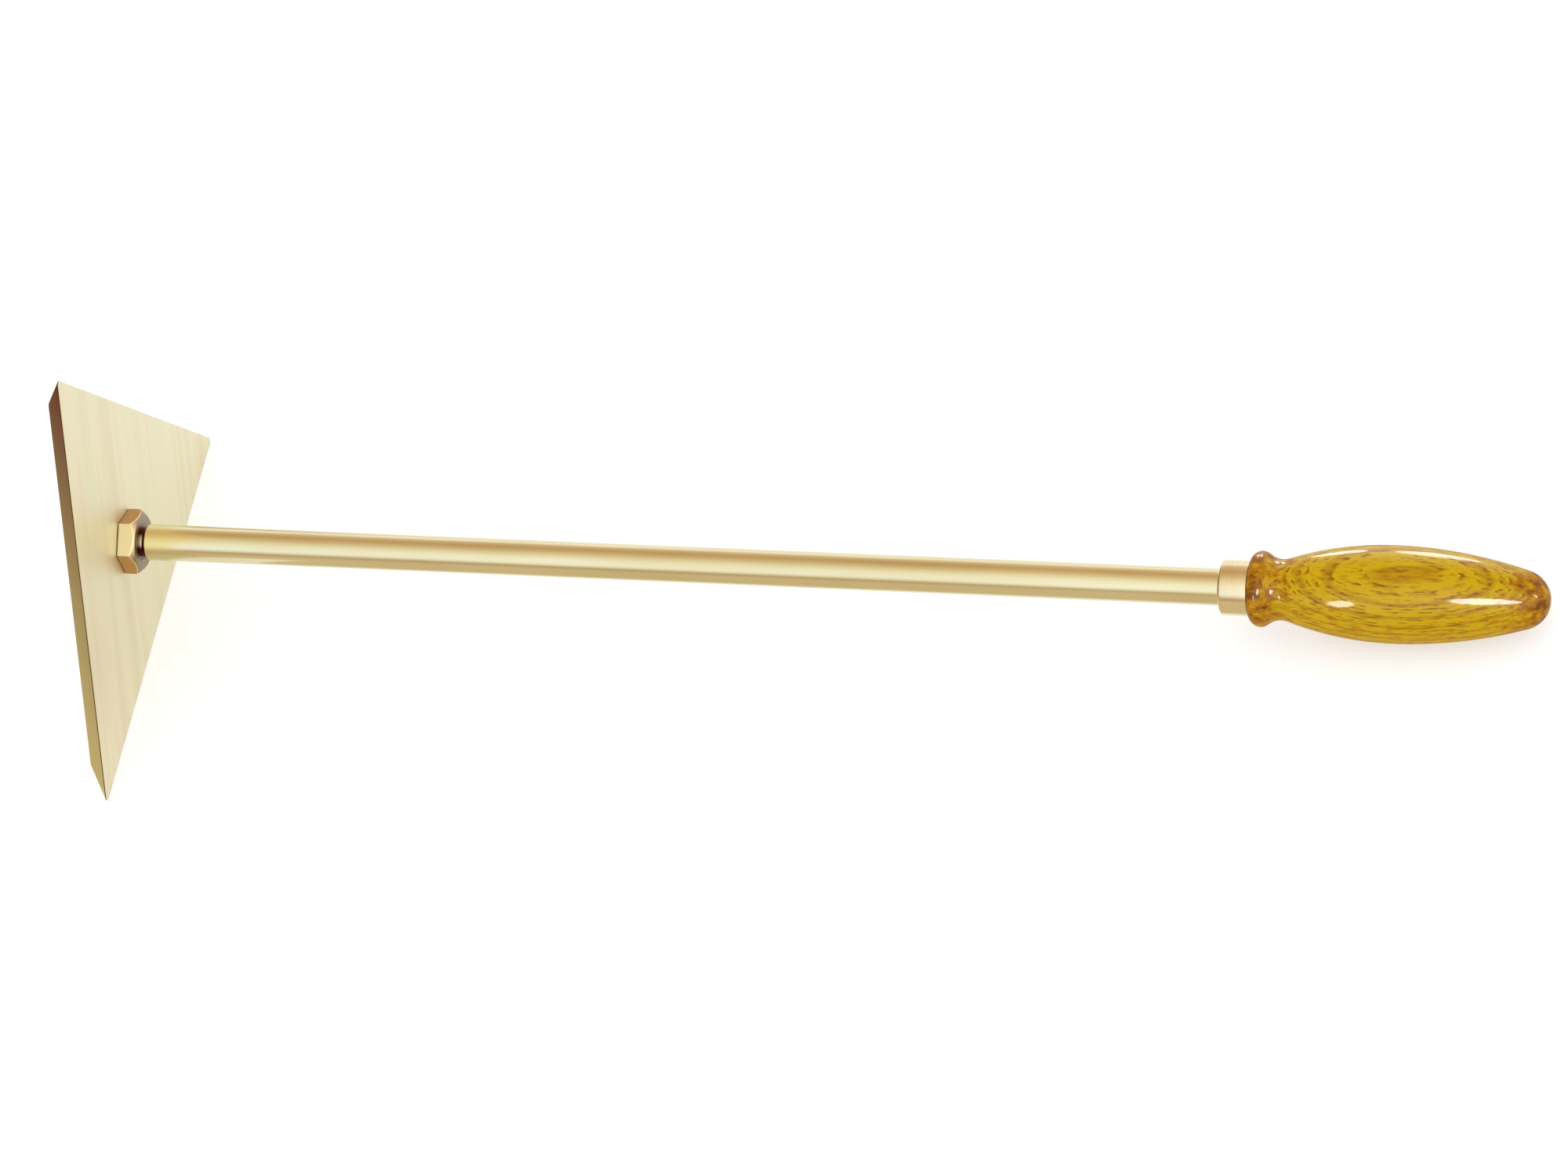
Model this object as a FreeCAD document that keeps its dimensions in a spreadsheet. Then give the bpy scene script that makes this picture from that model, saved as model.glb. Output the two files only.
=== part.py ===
"""Triangular draw hoe: a bevelled bronze-alloy blade screwed on a round rod, with a turned wooden handle.

Frame: +X runs along the rod from the blade to the handle, +Z is up and the blade's top corner points up.
The origin is on the rod's axis, in the blade's outer face. Millimetres and degrees.
"""
import FreeCAD, Part
import Sketcher
import math
import os

# Driving dimensions. Each becomes a spreadsheet cell whose alias is its name.
DIMENSIONS = [
    # blade
    ("blade_side", 178.0),      # side of the equilateral triangle
    ("blade_plate", 7.5),       # plate thickness
    ("bevel_inset", 6.5),       # how far each ground bevel runs in from the edge on the outer face
    ("bevel_land", 0.4),        # flat left at the cutting edge, on the handle side
    ("corner_round", 1.5),      # radius of the three corners
    ("mouth_chamfer", 0.8),     # chamfer at the mouth of the blade's threaded hole and on the rod's end
    # lock nut
    ("thread_size", 14.0),      # nominal thread diameter of rod end, blade and nut
    ("nut_flats", 22.0),        # across flats
    ("nut_height", 7.0),
    ("nut_face", 20.9),         # diameter of the flat ring left inside the corner chamfer
    ("nut_slope", 42.0),        # angle of the corner chamfer to the nut's face
    ("nut_mouth", 0.4),         # countersink of the nut's thread
    ("nut_clocking", 3.5),      # how far the nut is turned from flat towards +Y
    # rod
    ("rod_size", 14.0),         # bar diameter
    ("rod_showing", 428.0),     # from the nut to the ferrule
    ("rod_recess", 0.3),        # how far the rod's end stands inside the blade's outer face
    ("relief_width", 1.2),      # thread relief groove beside the nut
    ("relief_depth", 1.3),
    ("rod_chamfer", 1.4),       # at both ends of the full diameter
    ("tang_size", 9.0),
    ("tang_length", 80.0),
    ("tang_chamfer", 1.0),
    # ferrule
    ("ferrule_size", 21.0),     # outer diameter
    ("ferrule_length", 11.0),
    ("ferrule_wall", 1.4),
    ("ferrule_end", 1.6),       # thickness of the end wall that the rod passes through
    ("ferrule_rim", 1.2),       # rounding of the front rim
    # handle
    ("handle_length", 113.0),   # wood that shows, ferrule to butt
    ("bead_stand", 3.8),        # how far the bead stands out past the ferrule
    ("bead_round", 4.2),        # radius of the bead's section
    ("neck_size", 23.0),
    ("neck_place", 12.0),       # from the ferrule
    ("belly_size", 36.8),
    ("belly_place", 54.0),      # from the ferrule
    ("back_sweep", 175.0),      # radius of the long curve behind the belly
    # handle pin
    ("pin_size", 3.0),
    ("pin_bury", 2.5),          # how far the pin's blind end stands past the tang
    # fits
    ("glue_gap", 0.1),          # radial room for glue round tenon and tang
    ("rod_clearance", 0.1),     # radial room of the rod in the ferrule's end wall
    ("seat_gap", 0.2),          # room between the tenon's end and the ferrule's end wall
]

doc = FreeCAD.newDocument("draw_hoe")
sizes = doc.addObject("Spreadsheet::Sheet", "sizes")
for row, (alias, number) in enumerate(DIMENSIONS, start=1):
    sizes.set("A%d" % row, alias)
    sizes.set("B%d" % row, str(number))
    sizes.setAlias("B%d" % row, alias)
doc.recompute()

# Places along the rod's axis, as expressions of the driving dimensions.
NUT_END = "(sizes.blade_plate + sizes.nut_height)"
FERRULE_START = "(sizes.blade_plate + sizes.nut_height + sizes.rod_showing)"
HANDLE_START = "(sizes.blade_plate + sizes.nut_height + sizes.rod_showing + sizes.ferrule_length)"
TENON_LENGTH = "(sizes.ferrule_length - sizes.ferrule_end - sizes.seat_gap)"
PIN_PLACE = "(sizes.blade_plate + sizes.nut_height + sizes.rod_showing" \
            " + (sizes.ferrule_length + sizes.ferrule_end) / 2)"
PIN_TOP = "(sizes.tang_size / 2 + sizes.pin_bury)"
BEAD_CENTRE = "(sizes.ferrule_size / 2 + sizes.bead_stand - sizes.bead_round)"


def size(alias):
    """Number held by one cell of the sheet, for the starting shape of a sketch."""
    return float(sizes.get(alias))


def new_body(label):
    body = doc.addObject("PartDesign::Body", label)
    body.Label = label
    return body


def origin_feature(body, role):
    return next(part for part in body.Origin.OriginFeatures if part.Role == role)


def new_sketch(body, name, plane):
    """Empty sketch on one of the body's own origin planes."""
    sketch = body.newObject("Sketcher::SketchObject", name)
    sketch.AttachmentSupport = [(origin_feature(body, plane), "")]
    sketch.MapMode = "FlatFace"
    return sketch


def add_line(sketch, start, end):
    first, last = FreeCAD.Vector(*start, 0), FreeCAD.Vector(*end, 0)
    return sketch.addGeometry(Part.LineSegment(first, last), False)


def add_polygon(sketch, corners):
    """Closed chain of lines through the corners, joined end to start. Returns the line numbers."""
    ends = corners[1:] + corners[:1]
    lines = [add_line(sketch, start, end) for start, end in zip(corners, ends)]
    for line, following in zip(lines, lines[1:] + lines[:1]):
        sketch.addConstraint(Sketcher.Constraint("Coincident", line, 2, following, 1))
    return lines


def add_arc(sketch, centre, radius, start, end):
    """Arc about a centre, counter-clockwise from the direction of start to that of end."""
    middle = FreeCAD.Vector(*centre, 0)
    turns = [math.atan2(point[1] - centre[1], point[0] - centre[0]) for point in (start, end)]
    circle = Part.Circle(middle, FreeCAD.Vector(0, 0, 1), radius)
    return sketch.addGeometry(Part.ArcOfCircle(circle, turns[0], turns[1]), False)


def add_circle(sketch, radius):
    """Circle about the sketch's origin. Returns its number."""
    circle = Part.Circle(FreeCAD.Vector(0, 0, 0), FreeCAD.Vector(0, 0, 1), radius)
    number = sketch.addGeometry(circle, False)
    sketch.addConstraint(Sketcher.Constraint("Coincident", number, 3, -1, 1))
    return number


def bind(sketch, name, expression, *constraint):
    """Adds a named dimension whose value is an expression of the sheet's cells."""
    number = sketch.addConstraint(Sketcher.Constraint(*constraint))
    sketch.renameConstraint(number, name)
    sketch.setExpression("Constraints." + name, expression)


def bind_point(sketch, name, line, along, across):
    """Fixes the start of a line at the distances along and across from the sketch's origin."""
    place = sketch.getPoint(line, 1)
    for axis, expression, now in (("X", along, place.x), ("Y", across, place.y)):
        if expression == "0":
            sketch.addConstraint(Sketcher.Constraint("PointOnObject", line, 1, -2 if axis == "X" else -1))
        elif now >= 0:
            bind(sketch, name + axis.lower(), expression, "Distance" + axis, -1, 1, line, 1, now)
        else:
            bind(sketch, name + axis.lower(), "-(%s)" % expression, "Distance" + axis, line, 1, -1, 1, -now)


def revolve_polygon(body, name, points, kind="Revolution"):
    """Turns a polygon about X. Each point is ((x, radius), (x expression, radius expression))."""
    sketch = new_sketch(body, name + "_outline", "XY_Plane")
    lines = add_polygon(sketch, [place for place, _ in points])
    for line, (_, (along, across)) in zip(lines, points):
        bind_point(sketch, "point%d" % line, line, along, across)
    turned = body.newObject("PartDesign::" + kind, name)
    turned.Profile = sketch
    turned.ReferenceAxis = (sketch, ["H_Axis"])
    turned.Angle = 360.0
    doc.recompute()
    return turned


def edge_names(feature, wanted):
    """Names of the feature's edges for which the test is true."""
    return ["Edge%d" % number for number, edge in enumerate(feature.Shape.Edges, start=1) if wanted(edge)]


def runs_along_x(edge):
    if not isinstance(edge.Curve, Part.Line):
        return False
    return abs(edge.tangentAt(edge.FirstParameter).x) > 0.999


def cut_bore(body, name, diameter_expression, diameter):
    """Round hole about X, right through the body."""
    sketch = new_sketch(body, name + "_circle", "YZ_Plane")
    circle = add_circle(sketch, diameter / 2)
    bind(sketch, "bore", diameter_expression, "Diameter", circle, diameter)
    bore = body.newObject("PartDesign::Pocket", name)
    bore.Profile = sketch
    bore.Type = "ThroughAll"
    bore.Midplane = True
    doc.recompute()
    return bore


def build_blade():
    """Equilateral plate with three ground bevels on the outer face and a threaded hole at its middle."""
    body = new_body("blade")
    side, plate = size("blade_side"), size("blade_plate")
    inradius = side / math.sqrt(12)
    outline = new_sketch(body, "blade_outline", "YZ_Plane")
    corners = [(-side / 2, -inradius), (side / 2, -inradius), (0, 2 * inradius)]
    bottom, right, left = add_polygon(outline, corners)
    outline.addConstraint(Sketcher.Constraint("Symmetric", bottom, 1, bottom, 2, -2))
    outline.addConstraint(Sketcher.Constraint("Equal", bottom, right))
    outline.addConstraint(Sketcher.Constraint("Equal", bottom, left))
    bind(outline, "side", "sizes.blade_side", "DistanceX", bottom, 1, bottom, 2, side)
    bind(outline, "inradius", "sizes.blade_side / sqrt(12)", "DistanceY", bottom, 1, -1, 1, inradius)
    plate_pad = body.newObject("PartDesign::Pad", "blade_plate_pad")
    plate_pad.Profile = outline
    plate_pad.setExpression("Length", "sizes.blade_plate")
    doc.recompute()

    corners_rounded = body.newObject("PartDesign::Fillet", "blade_corners")
    corners_rounded.Base = (plate_pad, edge_names(plate_pad, runs_along_x))
    corners_rounded.setExpression("Radius", "sizes.corner_round")
    doc.recompute()

    grind_bevels(body, inradius, plate)
    bore = cut_bore(body, "blade_thread", "sizes.thread_size", size("thread_size"))

    def outer_mouth(edge):
        return isinstance(edge.Curve, Part.Circle) and edge.Curve.Axis.x ** 2 > 0.999 \
            and abs(edge.Curve.Center.x) < 1e-6 and abs(edge.Curve.Radius - size("thread_size") / 2) < 1e-6

    mouth = body.newObject("PartDesign::Chamfer", "blade_mouth")
    mouth.Base = (bore, edge_names(bore, outer_mouth))
    mouth.setExpression("Size", "sizes.mouth_chamfer")
    body.Tip = mouth
    return body


def grind_bevels(body, inradius, plate):
    """Takes a wedge off the bottom edge of the outer face, then repeats it for the other two edges."""
    overrun = 0.2               # how far the wedge runs past the plate, as a share of its own size
    inset, depth = size("bevel_inset"), plate - size("bevel_land")
    wedge = new_sketch(body, "bevel_wedge", "XZ_Plane")
    low = -(inradius + overrun * inset)
    start = -overrun * depth
    full = 1 + 2 * overrun
    corners = [(start, low), (start + full * depth, low), (start, low + full * inset)]
    foot, slope, back = add_polygon(wedge, corners)
    wedge.addConstraint(Sketcher.Constraint("Horizontal", foot))
    wedge.addConstraint(Sketcher.Constraint("Vertical", back))
    depth_now = "(sizes.blade_plate - sizes.bevel_land)"
    bind(wedge, "depth", "%g * %s" % (full, depth_now), "DistanceX", foot, 1, foot, 2, full * depth)
    bind(wedge, "inset", "%g * sizes.bevel_inset" % full, "DistanceY", back, 2, back, 1, full * inset)
    bind(wedge, "start", "%g * %s" % (overrun, depth_now), "DistanceX", foot, 1, -1, 1, -start)
    bind(wedge, "low", "sizes.blade_side / sqrt(12) + %g * sizes.bevel_inset" % overrun,
         "DistanceY", foot, 1, -1, 1, -low)
    bevel = body.newObject("PartDesign::Pocket", "bevel")
    bevel.Profile = wedge
    bevel.Type = "Length"
    bevel.Midplane = True
    bevel.setExpression("Length", "2 * sizes.blade_side")
    doc.recompute()
    bevels = body.newObject("PartDesign::PolarPattern", "bevels")
    bevels.Originals = [bevel]
    bevels.Axis = (origin_feature(body, "X_Axis"), [""])
    bevels.Angle = 360.0
    bevels.Occurrences = 3
    body.Tip = bevels
    doc.recompute()


def build_lock_nut():
    """Thin hexagon nut, chamfered towards the handle and flat against the blade."""
    body = new_body("lock_nut")
    flats, height = size("nut_flats"), size("nut_height")
    reach = flats / math.sqrt(3)
    hexagon = new_sketch(body, "nut_hexagon", "YZ_Plane")
    turns = [math.radians(60 * step - 30) for step in range(6)]
    lines = add_polygon(hexagon, [(reach * math.cos(turn), reach * math.sin(turn)) for turn in turns])
    rim = add_circle(hexagon, reach)
    hexagon.setConstruction(rim, True)
    for line in lines:
        hexagon.addConstraint(Sketcher.Constraint("PointOnObject", line, 1, rim))
    for line in lines[1:]:
        hexagon.addConstraint(Sketcher.Constraint("Equal", lines[0], line))
    hexagon.addConstraint(Sketcher.Constraint("Vertical", lines[0]))
    bind(hexagon, "half_flats", "sizes.nut_flats / 2", "DistanceX", -1, 1, lines[0], 1, flats / 2)
    blank = body.newObject("PartDesign::Pad", "nut_blank")
    blank.Profile = hexagon
    blank.setExpression("Length", "sizes.nut_height")
    doc.recompute()
    cut_bore(body, "nut_thread", "sizes.thread_size", size("thread_size"))

    clear = 0.7                 # share of the flats at which the cutter stands outside every corner
    ring, outside = size("nut_face") / 2, clear * flats
    drop = (outside - ring) * math.tan(math.radians(size("nut_slope")))
    ring_now, outside_now = "sizes.nut_face / 2", "%g * sizes.nut_flats" % clear
    drop_now = "(%s - %s) * tan(sizes.nut_slope * 1 deg)" % (outside_now, ring_now)
    revolve_polygon(body, "nut_chamfer", [
        ((height, ring), ("sizes.nut_height", ring_now)),
        ((height, outside), ("sizes.nut_height", outside_now)),
        ((height - drop, outside), ("sizes.nut_height - " + drop_now, outside_now)),
    ], "Groove")

    thread, mouth = size("thread_size") / 2, size("nut_mouth")
    mouths = revolve_polygon(body, "nut_countersink", [
        ((height - mouth, thread), ("sizes.nut_height - sizes.nut_mouth", "sizes.thread_size / 2")),
        ((height, thread), ("sizes.nut_height", "sizes.thread_size / 2")),
        ((height, thread + mouth), ("sizes.nut_height", "sizes.thread_size / 2 + sizes.nut_mouth")),
    ], "Groove")
    body.Tip = mouths
    body.Placement.Rotation = FreeCAD.Rotation(FreeCAD.Vector(1, 0, 0), 0)
    body.setExpression("Placement.Base.x", "sizes.blade_plate")
    body.setExpression("Placement.Rotation.Angle", "sizes.nut_clocking * 1 deg")
    return body


def build_rod():
    """Round bar: threaded front end, relief groove beside the nut, full bar, turned-down tang."""
    body = new_body("rod")
    thread, bar, tang = size("thread_size") / 2, size("rod_size") / 2, size("tang_size") / 2
    break_edge, chamfer, tip = size("mouth_chamfer"), size("rod_chamfer"), size("tang_chamfer")
    recess = size("rod_recess")
    groove = thread - size("relief_depth")
    groove_start = size("blade_plate") + size("nut_height") - size("nut_mouth")
    groove_end = size("blade_plate") + size("nut_height") + size("relief_width")
    shoulder = size("blade_plate") + size("nut_height") + size("rod_showing") + size("ferrule_end") \
        + size("seat_gap")
    tang_end = shoulder + size("tang_length")
    thread_now, bar_now, tang_now = "sizes.thread_size / 2", "sizes.rod_size / 2", "sizes.tang_size / 2"
    groove_now = "sizes.thread_size / 2 - sizes.relief_depth"
    groove_start_now = NUT_END + " - sizes.nut_mouth"
    groove_end_now = NUT_END + " + sizes.relief_width"
    shoulder_now = FERRULE_START + " + sizes.ferrule_end + sizes.seat_gap"
    tang_end_now = shoulder_now + " + sizes.tang_length"
    revolve_polygon(body, "rod_turned", [
        ((recess, 0), ("sizes.rod_recess", "0")),
        ((recess, thread - break_edge), ("sizes.rod_recess", thread_now + " - sizes.mouth_chamfer")),
        ((recess + break_edge, thread), ("sizes.rod_recess + sizes.mouth_chamfer", thread_now)),
        ((groove_start, thread), (groove_start_now, thread_now)),
        ((groove_start, groove), (groove_start_now, groove_now)),
        ((groove_end, groove), (groove_end_now, groove_now)),
        ((groove_end, bar - chamfer), (groove_end_now, bar_now + " - sizes.rod_chamfer")),
        ((groove_end + chamfer, bar), (groove_end_now + " + sizes.rod_chamfer", bar_now)),
        ((shoulder - chamfer, bar), (shoulder_now + " - sizes.rod_chamfer", bar_now)),
        ((shoulder, bar - chamfer), (shoulder_now, bar_now + " - sizes.rod_chamfer")),
        ((shoulder, tang), (shoulder_now, tang_now)),
        ((tang_end - tip, tang), (tang_end_now + " - sizes.tang_chamfer", tang_now)),
        ((tang_end, tang - tip), (tang_end_now, tang_now + " - sizes.tang_chamfer")),
        ((tang_end, 0), (tang_end_now, "0")),
    ])
    body.Tip = drill_pin_hole(body, "rod_pin_hole", shoulder, PIN_PLACE, PIN_TOP)
    return body


def drill_pin_hole(body, name, start, place, top=None):
    """Hole along Z for the handle pin, from below the body up to a height, or to the axis.

    The circle is drawn at start and moved to place, an expression. Both lie on the same side of the origin.
    """
    sketch = new_sketch(body, name + "_circle", "XY_Plane")
    depth = "sizes.ferrule_size"
    if top:
        sketch.setExpression("AttachmentOffset.Base.z", top)
        depth += " + " + top
    radius = size("pin_size") / 2
    circle = sketch.addGeometry(
        Part.Circle(FreeCAD.Vector(start, 0, 0), FreeCAD.Vector(0, 0, 1), radius), False)
    sketch.addConstraint(Sketcher.Constraint("PointOnObject", circle, 3, -1))
    bind(sketch, "hole", "sizes.pin_size", "Diameter", circle, 2 * radius)
    bind(sketch, "place", place, "DistanceX", -1, 1, circle, 3, start)
    hole = body.newObject("PartDesign::Pocket", name)
    hole.Profile = sketch
    hole.Type = "Length"
    hole.setExpression("Length", depth)
    doc.recompute()
    return hole


def build_ferrule():
    """Turned cup over the handle's tenon, with an end wall that the rod passes through."""
    body = new_body("ferrule")
    outer, length = size("ferrule_size") / 2, size("ferrule_length")
    inner = outer - size("ferrule_wall")
    hole = size("rod_size") / 2 + size("rod_clearance")
    end = size("ferrule_end")
    inner_now = "sizes.ferrule_size / 2 - sizes.ferrule_wall"
    hole_now = "sizes.rod_size / 2 + sizes.rod_clearance"
    turned = revolve_polygon(body, "ferrule_turned", [
        ((0, hole), ("0", hole_now)),
        ((0, outer), ("0", "sizes.ferrule_size / 2")),
        ((length, outer), ("sizes.ferrule_length", "sizes.ferrule_size / 2")),
        ((length, inner), ("sizes.ferrule_length", inner_now)),
        ((end, inner), ("sizes.ferrule_end", inner_now)),
        ((end, hole), ("sizes.ferrule_end", hole_now)),
    ])

    def front_rim(edge):
        return isinstance(edge.Curve, Part.Circle) and abs(edge.Curve.Center.x) < 1e-6 \
            and abs(edge.Curve.Radius - outer) < 1e-6

    rim = body.newObject("PartDesign::Fillet", "ferrule_front_rim")
    rim.Base = (turned, edge_names(turned, front_rim))
    rim.setExpression("Radius", "sizes.ferrule_rim")
    doc.recompute()
    body.Tip = drill_pin_hole(body, "ferrule_pin_hole", length / 2,
                              "(sizes.ferrule_length + sizes.ferrule_end) / 2")
    body.setExpression("Placement.Base.x", FERRULE_START)
    return body


def build_handle():
    """Turned wooden handle: tenon, bead, neck, long belly and rounded butt, bored for the tang."""
    body = new_body("handle")
    outline = new_sketch(body, "handle_outline", "XY_Plane")
    length = size("handle_length")
    tenon_length = size("ferrule_length") - size("ferrule_end") - size("seat_gap")
    tenon = size("ferrule_size") / 2 - size("ferrule_wall") - size("glue_gap")
    bead_round = size("bead_round")
    bead_centre = size("ferrule_size") / 2 + size("bead_stand") - bead_round
    neck, neck_place = size("neck_size") / 2, size("neck_place")
    belly, belly_place = size("belly_size") / 2, size("belly_place")
    back = size("back_sweep")

    # Radii of the tangent arcs: bead to cove, cove to front sweep, back sweep to butt.
    run, rise = neck_place - bead_round, neck - bead_centre
    cove = (run ** 2 + rise ** 2 - bead_round ** 2) / (2 * (bead_round - rise))
    run, rise = belly_place - neck_place, neck + cove - belly
    front = (run ** 2 + rise ** 2 - cove ** 2) / (2 * (cove - rise))
    run, drop = length - belly_place, back - belly
    butt = (back ** 2 - drop ** 2 - run ** 2) / (2 * (back - run))

    bead_at, cove_at = (bead_round, bead_centre), (neck_place, neck + cove)
    front_at, back_at = (belly_place, belly - front), (belly_place, belly - back)
    butt_at = (length - butt, 0)
    bead_cove = point_between(bead_at, cove_at, bead_round, cove)
    cove_front = point_between(cove_at, front_at, cove, front)
    back_butt = point_between(butt_at, back_at, -butt, back)

    axis = add_line(outline, (-tenon_length, 0), (length, 0))
    tenon_end = add_line(outline, (-tenon_length, 0), (-tenon_length, tenon))
    tenon_side = add_line(outline, (-tenon_length, tenon), (0, tenon))
    seat = add_line(outline, (0, tenon), (0, bead_centre))
    bead_arc = add_arc(outline, bead_at, bead_round, bead_cove, (0, bead_centre))
    cove_arc = add_arc(outline, cove_at, cove, bead_cove, cove_front)
    front_arc = add_arc(outline, front_at, front, (belly_place, belly), cove_front)
    back_arc = add_arc(outline, back_at, back, back_butt, (belly_place, belly))
    butt_arc = add_arc(outline, butt_at, butt, (length, 0), back_butt)

    for joined in [("Coincident", axis, 1, tenon_end, 1), ("Coincident", tenon_end, 2, tenon_side, 1),
                   ("Coincident", tenon_side, 2, seat, 1), ("Coincident", seat, 2, bead_arc, 2),
                   ("Tangent", bead_arc, 1, cove_arc, 1), ("Tangent", cove_arc, 2, front_arc, 2),
                   ("Tangent", front_arc, 1, back_arc, 2), ("Tangent", back_arc, 1, butt_arc, 2),
                   ("Coincident", butt_arc, 1, axis, 2), ("PointOnObject", axis, 1, -1),
                   ("PointOnObject", axis, 2, -1), ("PointOnObject", butt_arc, 3, -1),
                   ("Vertical", tenon_end), ("Horizontal", tenon_side), ("PointOnObject", seat, 1, -2),
                   ("PointOnObject", seat, 2, -2), ("Horizontal", seat, 2, bead_arc, 3)]:
        outline.addConstraint(Sketcher.Constraint(*joined))
    bind(outline, "tenon_length", TENON_LENGTH, "DistanceX", axis, 1, -1, 1, tenon_length)
    bind(outline, "tenon", "sizes.ferrule_size / 2 - sizes.ferrule_wall - sizes.glue_gap",
         "DistanceY", tenon_end, 1, tenon_end, 2, tenon)
    bind(outline, "bead_round", "sizes.bead_round", "Radius", bead_arc, bead_round)
    bind(outline, "bead_centre", BEAD_CENTRE, "DistanceY", -1, 1, bead_arc, 3, bead_centre)
    bind(outline, "neck_place", "sizes.neck_place", "DistanceX", -1, 1, cove_arc, 3, neck_place)
    neck_rise = "(sizes.neck_size / 2 - %s)" % BEAD_CENTRE
    cove_now = "(pow(sizes.neck_place - sizes.bead_round; 2) + pow(%s; 2) - pow(sizes.bead_round; 2))" \
               " / (2 * (sizes.bead_round - %s))" % (neck_rise, neck_rise)
    bind(outline, "cove", cove_now, "Radius", cove_arc, cove)
    bind(outline, "belly_place", "sizes.belly_place", "DistanceX", -1, 1, front_arc, 3, belly_place)
    bind(outline, "belly", "sizes.belly_size / 2", "DistanceY", -1, 1, front_arc, 1, belly)
    bind(outline, "back", "sizes.back_sweep", "Radius", back_arc, back)
    bind(outline, "length", "sizes.handle_length", "DistanceX", -1, 1, axis, 2, length)
    outline.addConstraint(Sketcher.Constraint("Vertical", front_arc, 3, front_arc, 1))

    wood = body.newObject("PartDesign::Revolution", "handle_turned")
    wood.Profile = outline
    wood.ReferenceAxis = (outline, ["H_Axis"])
    wood.Angle = 360.0
    doc.recompute()

    bore = size("tang_size") / 2 + size("glue_gap")
    depth = size("tang_length") + size("seat_gap") - tenon_length
    bore_now = "sizes.tang_size / 2 + sizes.glue_gap"
    revolve_polygon(body, "handle_bore", [
        ((-tenon_length, 0), ("-" + TENON_LENGTH, "0")),
        ((-tenon_length, bore), ("-" + TENON_LENGTH, bore_now)),
        ((depth, bore), ("sizes.tang_length + sizes.seat_gap - " + TENON_LENGTH, bore_now)),
        ((depth, 0), ("sizes.tang_length + sizes.seat_gap - " + TENON_LENGTH, "0")),
    ], "Groove")
    body.Tip = drill_pin_hole(body, "handle_pin_hole", -tenon_length / 2,
                              "(sizes.ferrule_end - sizes.ferrule_length) / 2", PIN_TOP)
    body.setExpression("Placement.Base.x", HANDLE_START)
    return body


def point_between(first, second, first_radius, second_radius):
    """Where two tangent circles meet, on the line through their centres."""
    share = first_radius / (first_radius + second_radius)
    return tuple(a + share * (b - a) for a, b in zip(first, second))


def build_handle_pin():
    """Pin driven up through ferrule, tenon and tang, its head filed to the ferrule's curve."""
    stock = doc.addObject("Part::Cylinder", "pin_stock")
    stock.setExpression("Radius", "sizes.pin_size / 2")
    stock.setExpression("Height", "sizes.ferrule_size + sizes.tang_size / 2 + sizes.pin_bury")
    stock.setExpression("Placement.Base.x", PIN_PLACE)
    stock.setExpression("Placement.Base.z", "-sizes.ferrule_size")
    envelope = doc.addObject("Part::Cylinder", "ferrule_envelope")
    envelope.setExpression("Radius", "sizes.ferrule_size / 2")
    envelope.setExpression("Height", "sizes.ferrule_length")
    envelope.Placement.Rotation = FreeCAD.Rotation(FreeCAD.Vector(0, 1, 0), 90)
    envelope.setExpression("Placement.Base.x", FERRULE_START)
    pin = doc.addObject("Part::Common", "handle_pin")
    pin.Base = stock
    pin.Tool = envelope
    pin.Label = "handle_pin"
    return pin


def check_document(pieces):
    """Stops if any object failed, or a piece is null, invalid, or not one solid."""
    for item in doc.Objects:
        if "Invalid" in item.State or "Error" in item.State:
            raise RuntimeError("%s failed: %s" % (item.Name, item.State))
    for piece in pieces:
        shape = piece.Shape
        if shape.isNull() or not shape.isValid():
            raise RuntimeError("%s has no valid shape" % piece.Label)
        if len(shape.Solids) != 1:
            raise RuntimeError("%s has %d solids" % (piece.Label, len(shape.Solids)))


pieces = [build_blade(), build_lock_nut(), build_rod(), build_ferrule(), build_handle(), build_handle_pin()]
doc.recompute()
check_document(pieces)
os.makedirs("parts", exist_ok=True)
for piece in pieces:
    piece.Shape.exportStep("parts/%s.step" % piece.Label)
    box = piece.Shape.BoundBox
    print("%-10s volume %9.1f  x %.2f..%.2f  y %.2f..%.2f  z %.2f..%.2f" % (
        piece.Label, piece.Shape.Volume, box.XMin, box.XMax, box.YMin, box.YMax, box.ZMin, box.ZMax))
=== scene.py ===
"""Looks of the triangular draw hoe: satin bronze blade and nut, drawn bar, brass ferrule, varnished handle.

Frame: +X runs along the bar from the blade to the handle, +Z is up. Each section gives its sizes in
millimetres.
"""
import math

import bpy
import numpy as np
from mathutils import Matrix, Vector


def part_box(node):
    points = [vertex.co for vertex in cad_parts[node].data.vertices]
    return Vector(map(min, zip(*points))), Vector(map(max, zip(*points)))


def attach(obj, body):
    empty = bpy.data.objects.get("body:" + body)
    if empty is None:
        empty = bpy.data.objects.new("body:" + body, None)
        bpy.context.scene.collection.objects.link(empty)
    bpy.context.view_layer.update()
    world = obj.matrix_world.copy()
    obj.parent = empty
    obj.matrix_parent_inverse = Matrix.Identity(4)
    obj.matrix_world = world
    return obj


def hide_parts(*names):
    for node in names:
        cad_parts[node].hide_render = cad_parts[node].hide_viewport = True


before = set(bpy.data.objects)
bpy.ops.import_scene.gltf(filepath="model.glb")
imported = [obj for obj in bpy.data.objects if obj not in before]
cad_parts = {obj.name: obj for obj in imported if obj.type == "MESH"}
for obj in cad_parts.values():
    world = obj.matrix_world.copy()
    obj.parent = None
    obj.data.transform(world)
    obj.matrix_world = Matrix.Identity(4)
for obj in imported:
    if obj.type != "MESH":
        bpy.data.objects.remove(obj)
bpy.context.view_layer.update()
MM = 0.001


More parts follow.
